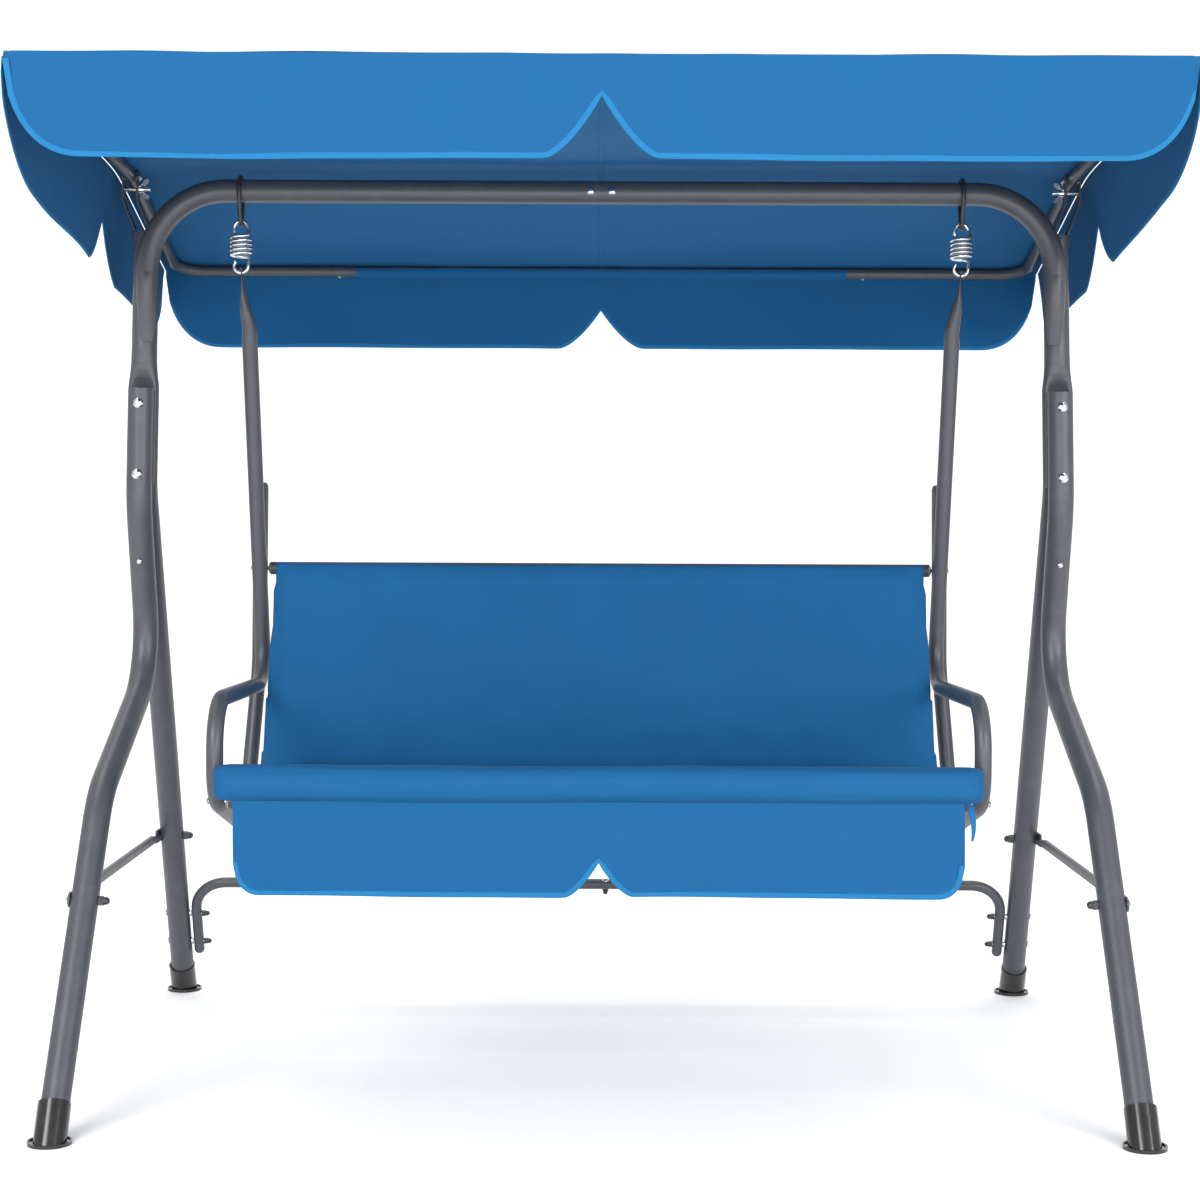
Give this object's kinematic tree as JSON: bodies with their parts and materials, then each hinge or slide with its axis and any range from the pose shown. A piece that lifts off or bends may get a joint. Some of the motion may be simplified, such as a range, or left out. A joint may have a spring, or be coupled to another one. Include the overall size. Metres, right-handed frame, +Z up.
{
  "type": "garden swing seat",
  "caption": "Canopy swing seat: a padded bench on two springs under a tubular frame with splayed legs, a tilting fabric roof and scalloped valances.",
  "frame": {"origin": "on the floor, under the middle of the overall box, 62 mm in front of the middle of the four feet", "axes": "+X across the swing to the sitter's left, -Y the front the sitter faces, +Z up"},
  "size_m": [1.638, 1.2639, 1.5305],
  "materials": {
    "charcoal_paint": "satin powder coat",
    "black_plastic": "glossy",
    "pale_plastic": "matt",
    "black_steel": "black coated",
    "zinc_steel": "bright zinc",
    "blue_canvas": "woven polyester"
  },
  "bodies": {
    "frame": {"beam_left": "charcoal_paint", "beam_right": "charcoal_paint", "beam_bolts": "zinc_steel", "beam_nuts": "zinc_steel", "upright_left": "charcoal_paint", "front_leg_left": "charcoal_paint", "rear_leg_left": "charcoal_paint", "foot_cap_front_left": "black_plastic", "foot_cap_rear_left": "black_plastic", "side_brace_left": "charcoal_paint", "stabiliser_left": "charcoal_paint", "canopy_bracket_left": "charcoal_paint", "hook_left": "black_steel", "upright_right": "charcoal_paint", "front_leg_right": "charcoal_paint", "rear_leg_right": "charcoal_paint", "foot_cap_front_right": "black_plastic", "foot_cap_rear_right": "black_plastic", "side_brace_right": "charcoal_paint", "stabiliser_right": "charcoal_paint", "canopy_bracket_right": "charcoal_paint", "hook_right": "black_steel", "leg_joint_bolts": "zinc_steel", "leg_joint_nuts": "zinc_steel", "leg_screws": "zinc_steel", "brace_bolts": "zinc_steel", "brace_cap_nuts": "black_steel", "stabiliser_bolts": "zinc_steel", "stabiliser_cap_nuts": "black_steel", "stabiliser_spacers": "zinc_steel", "canopy_bracket_bolts": "zinc_steel", "canopy_pivot_nuts": "zinc_steel"},
    "springs": {"spring_left": "zinc_steel", "spring_right": "zinc_steel"},
    "seat": {"hanger_left": "charcoal_paint", "hanger_right": "charcoal_paint", "back_upright_left": "charcoal_paint", "back_upright_right": "charcoal_paint", "front_rail": "charcoal_paint", "rear_rail": "charcoal_paint", "back_top_rail": "charcoal_paint", "rail_plugs": "pale_plastic", "seat_frame_bolts": "zinc_steel", "seat_cushion": "blue_canvas", "seat_front_roll": "blue_canvas", "back_cushion": "blue_canvas", "seat_valance": "blue_canvas", "tie_ribbon": "blue_canvas"},
    "canopy": {"canopy_bow_left": "charcoal_paint", "canopy_bow_right": "charcoal_paint", "canopy_front_tube": "charcoal_paint", "canopy_rear_tube": "charcoal_paint", "canopy_snap_buttons": "pale_plastic", "canopy_top_cover": "blue_canvas", "canopy_valance_front": "blue_canvas", "canopy_valance_rear": "blue_canvas", "canopy_valance_left": "blue_canvas", "canopy_valance_right": "blue_canvas"},
    "wing_left": {"wing_nut_left": "zinc_steel"},
    "wing_right": {"wing_nut_right": "zinc_steel"}
  },
  "joints": [
    {"name": "seat_swing", "type": "hinge", "parent": "frame", "child": "springs", "pos_m": [0, 0.05775, 1.384], "axis": [1, 0, 0], "range_deg": [-15, 15]},
    {"name": "seat_bounce", "type": "slide", "parent": "springs", "child": "seat", "axis": [0, 0, 1], "range_m": [-0.03, 0.002], "stiffness_N_per_m": 24000, "deforming": ["spring_left", "spring_right"]},
    {"name": "canopy_tilt", "type": "hinge", "parent": "frame", "child": "canopy", "pos_m": [0, 0.09795, 1.462], "axis": [1, 0, 0], "range_deg": [-10, 10]},
    {"name": "wing_left_turn", "type": "hinge", "parent": "frame", "child": "wing_left", "pos_m": [-0.771, 0.10195, 1.4445], "axis": [1, 0, 0], "continuous": true},
    {"name": "wing_right_turn", "type": "hinge", "parent": "frame", "child": "wing_right", "pos_m": [0.771, 0.10195, 1.4445], "axis": [1, 0, 0], "continuous": true}
  ]
}
